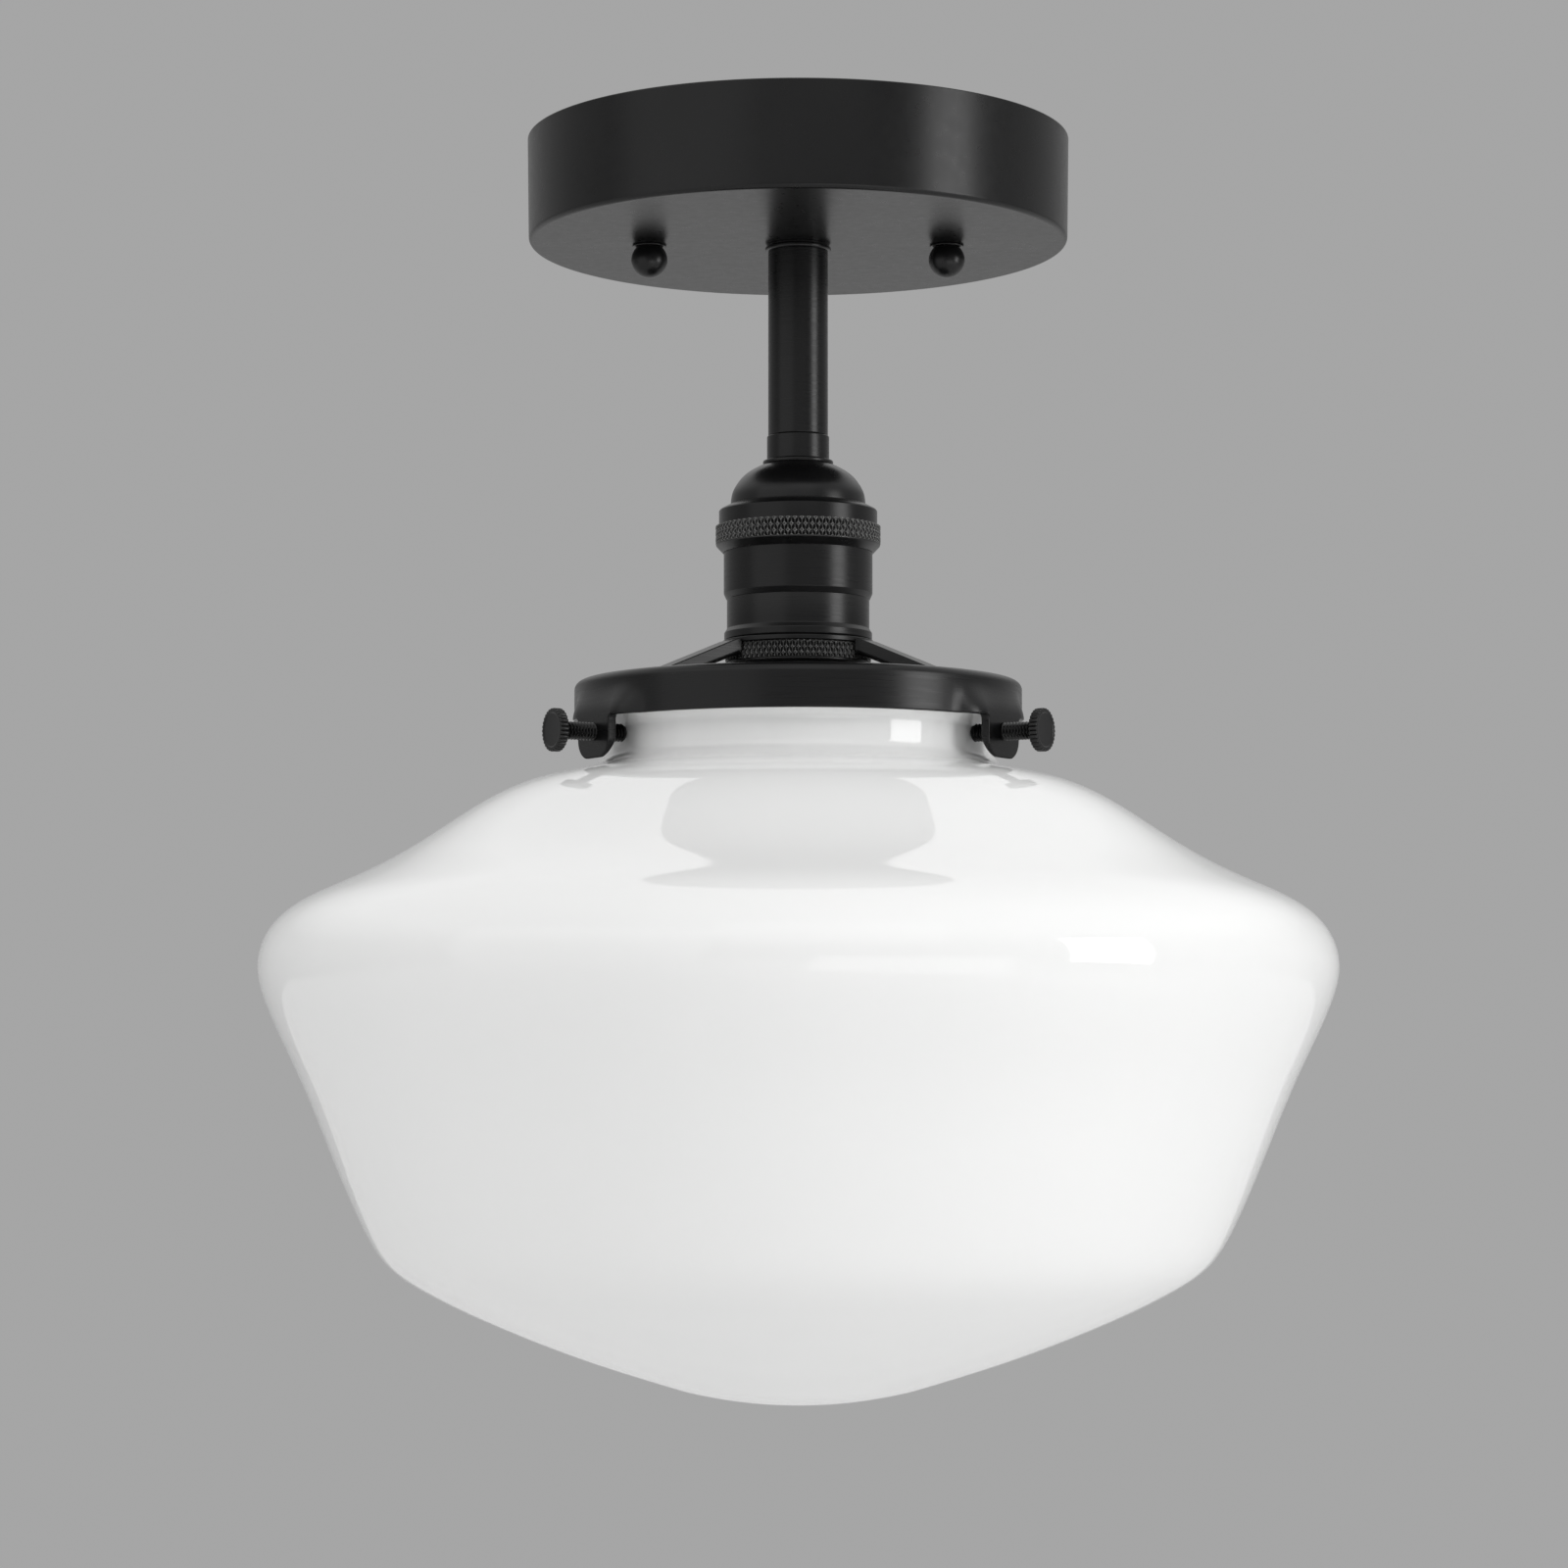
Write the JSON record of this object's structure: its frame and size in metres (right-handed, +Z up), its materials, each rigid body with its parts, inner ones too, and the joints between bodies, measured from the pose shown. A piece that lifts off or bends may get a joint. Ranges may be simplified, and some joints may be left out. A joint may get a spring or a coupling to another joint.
{
  "type": "semi flush ceiling light",
  "caption": "Short-stem ceiling light with a drum canopy, knurled lamp holder, spider shade holder with thumb screws and a closed opal glass bowl.",
  "frame": {"origin": "centre of the ceiling plane, on the stem's axis, at the top face of the ceiling strap", "axes": "+Z up along the stem's axis, +X along the ceiling strap and the two ball nuts, the spider's odd arm points to +Y"},
  "size_m": [0.249, 0.249, 0.2946],
  "materials": {
    "satin_black": "satin black",
    "plated_steel": "zinc plated",
    "ground_green": "green dyed zinc",
    "brass": "bright brass",
    "porcelain": "glazed porcelain",
    "lead_black": "insulation",
    "lead_white": "insulation",
    "opal_glass": "glossy opal white"
  },
  "bodies": {
    "root": {"crossbar": "plated_steel", "ground_screw": "ground_green", "canopy": "satin_black", "canopy_screw_left": "plated_steel", "canopy_screw_right": "plated_steel", "lock_nut_left": "plated_steel", "lock_nut_right": "plated_steel", "threaded_nipple": "plated_steel", "hex_nut": "plated_steel", "lock_washer": "plated_steel", "seat_ring": "satin_black", "stem_tube": "satin_black", "stem_coupling": "satin_black", "lip_washer": "satin_black", "socket_cap": "satin_black", "cap_ring": "satin_black", "upper_shell": "satin_black", "lower_shell": "satin_black", "insulator_body": "porcelain", "screw_shell": "brass", "lead_line": "lead_black", "lead_neutral": "lead_white"},
    "nut_washer_left": {"nut_washer_left": "satin_black"},
    "ball_nut_left": {"ball_nut_left": "satin_black"},
    "nut_washer_right": {"nut_washer_right": "satin_black"},
    "ball_nut_right": {"ball_nut_right": "satin_black"},
    "shade_holder": {"fitter": "satin_black", "glass_shade": "opal_glass"},
    "clamp_ring": {"clamp_ring": "satin_black"},
    "centre_contact": {"centre_contact": "brass"},
    "thumb_stud_back": {"thumb_stud_back": "satin_black"},
    "thumb_head_back": {"thumb_head_back": "satin_black"},
    "thumb_stud_front_left": {"thumb_stud_front_left": "satin_black"},
    "thumb_head_front_left": {"thumb_head_front_left": "satin_black"},
    "thumb_stud_front_right": {"thumb_stud_front_right": "satin_black"},
    "thumb_head_front_right": {"thumb_head_front_right": "satin_black"}
  },
  "joints": [
    {"name": "nut_washer_left_slide", "type": "slide", "parent": "root", "child": "nut_washer_left", "axis": [0, 0, -1], "range_m": [0, 0.00476]},
    {"name": "ball_nut_left_turn", "type": "hinge", "parent": "nut_washer_left", "child": "ball_nut_left", "pos_m": [-0.03492, 0, -0.028], "axis": [0, 0, -1], "range_deg": [0, 2160]},
    {"name": "nut_washer_right_slide", "type": "slide", "parent": "root", "child": "nut_washer_right", "axis": [0, 0, -1], "range_m": [0, 0.00476]},
    {"name": "ball_nut_right_turn", "type": "hinge", "parent": "nut_washer_right", "child": "ball_nut_right", "pos_m": [0.03492, 0, -0.028], "axis": [0, 0, -1], "range_deg": [0, 2160]},
    {"name": "shade_holder_slide", "type": "slide", "parent": "root", "child": "shade_holder", "axis": [0, 0, -1], "range_m": [0, 0.00953]},
    {"name": "clamp_ring_turn", "type": "hinge", "parent": "shade_holder", "child": "clamp_ring", "pos_m": [0, 0, -0.1214], "axis": [0, 0, -1], "range_deg": [0, 2160]},
    {"name": "thumb_stud_back_slide", "type": "slide", "parent": "shade_holder", "child": "thumb_stud_back", "axis": [0, 1, 0], "range_m": [0, 0.00476]},
    {"name": "thumb_head_back_turn", "type": "hinge", "parent": "thumb_stud_back", "child": "thumb_head_back", "pos_m": [0, 0.0632, -0.1414], "axis": [0, 1, 0], "range_deg": [0, 2160]},
    {"name": "thumb_stud_front_left_slide", "type": "slide", "parent": "shade_holder", "child": "thumb_stud_front_left", "axis": [-0.866, -0.5, 0], "range_m": [0, 0.00476]},
    {"name": "thumb_head_front_left_turn", "type": "hinge", "parent": "thumb_stud_front_left", "child": "thumb_head_front_left", "pos_m": [-0.05473, -0.0316, -0.1414], "axis": [-0.866, -0.5, 0], "range_deg": [0, 2160]},
    {"name": "thumb_stud_front_right_slide", "type": "slide", "parent": "shade_holder", "child": "thumb_stud_front_right", "axis": [0.866, -0.5, 0], "range_m": [0, 0.00476]},
    {"name": "thumb_head_front_right_turn", "type": "hinge", "parent": "thumb_stud_front_right", "child": "thumb_head_front_right", "pos_m": [0.05473, -0.0316, -0.1414], "axis": [0.866, -0.5, 0], "range_deg": [0, 2160]},
    {"name": "contact_flex", "type": "hinge", "parent": "root", "child": "centre_contact", "pos_m": [-0.007, 0, -0.10538], "axis": [0, -1, 0], "range_deg": [0, 8.5], "stiffness_Nm_per_rad": 0.5}
  ],
  "couplings": [
    {"joint": "ball_nut_left_turn", "follows": "nut_washer_left_slide", "rad_per_m": 7915.8},
    {"joint": "ball_nut_right_turn", "follows": "nut_washer_right_slide", "rad_per_m": 7915.8},
    {"joint": "clamp_ring_turn", "follows": "shade_holder_slide", "rad_per_m": 3957.9},
    {"joint": "thumb_head_back_turn", "follows": "thumb_stud_back_slide", "rad_per_m": 7915.8},
    {"joint": "thumb_head_front_left_turn", "follows": "thumb_stud_front_left_slide", "rad_per_m": 7915.8},
    {"joint": "thumb_head_front_right_turn", "follows": "thumb_stud_front_right_slide", "rad_per_m": 7915.8}
  ]
}
